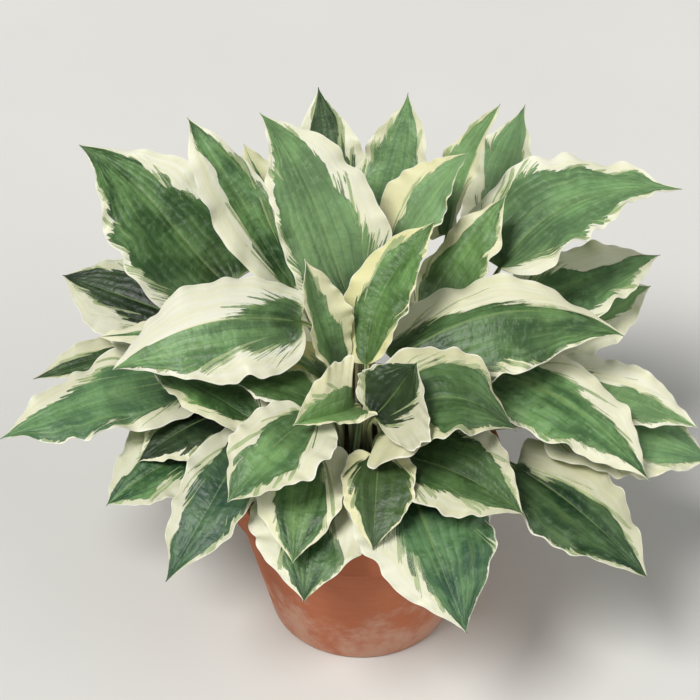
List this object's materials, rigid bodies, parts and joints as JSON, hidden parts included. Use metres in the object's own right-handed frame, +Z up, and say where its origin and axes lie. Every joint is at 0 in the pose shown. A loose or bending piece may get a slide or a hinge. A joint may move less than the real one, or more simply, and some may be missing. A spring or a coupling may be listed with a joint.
{
  "type": "potted hosta plant",
  "caption": "Leafy garden plant in a plain round clay pot: broad heart-shaped green leaves with cream margins, on arching stalks that rise from the soil.",
  "frame": {"origin": "the middle of the underside of the pot, on the surface that the pot stands on", "axes": "+Z up, along the pot; the pictured view looks along +Y and down, with +X to its right"},
  "size_m": [0.7104, 0.5401, 0.4824],
  "materials": {
    "clay": "matt, unglazed",
    "earth": "matt, loose and crumbly",
    "leaf_upper": "satin, with cream margins",
    "leaf_low": "satin, with cream margins",
    "leaf_young": "satin, with yellowish cream margins"
  },
  "bodies": {
    "root": {"pot": "clay", "soil": "earth", "leaf_01": "leaf_upper", "leaf_02": "leaf_upper", "leaf_03": "leaf_upper", "leaf_04": "leaf_upper", "leaf_05": "leaf_young", "leaf_06": "leaf_young", "leaf_07": "leaf_young", "leaf_08": "leaf_upper", "leaf_09": "leaf_upper", "leaf_10": "leaf_upper", "leaf_11": "leaf_upper", "leaf_12": "leaf_upper", "leaf_13": "leaf_low", "leaf_14": "leaf_upper", "leaf_15": "leaf_low", "leaf_16": "leaf_young", "leaf_17": "leaf_young", "leaf_18": "leaf_upper", "leaf_19": "leaf_low", "leaf_20": "leaf_upper", "leaf_21": "leaf_low", "leaf_22": "leaf_low", "leaf_23": "leaf_low", "leaf_24": "leaf_low", "leaf_25": "leaf_upper", "leaf_26": "leaf_low", "leaf_27": "leaf_low", "leaf_28": "leaf_upper", "leaf_29": "leaf_upper", "leaf_30": "leaf_low", "leaf_31": "leaf_upper", "leaf_32": "leaf_upper", "leaf_33": "leaf_upper", "leaf_34": "leaf_low", "leaf_35": "leaf_low", "leaf_36": "leaf_low", "leaf_37": "leaf_low", "leaf_38": "leaf_upper", "leaf_39": "leaf_low", "leaf_40": "leaf_low", "leaf_41": "leaf_low", "leaf_42": "leaf_low", "leaf_43": "leaf_low", "leaf_44": "leaf_low", "leaf_45": "leaf_low"}
  },
  "joints": []
}
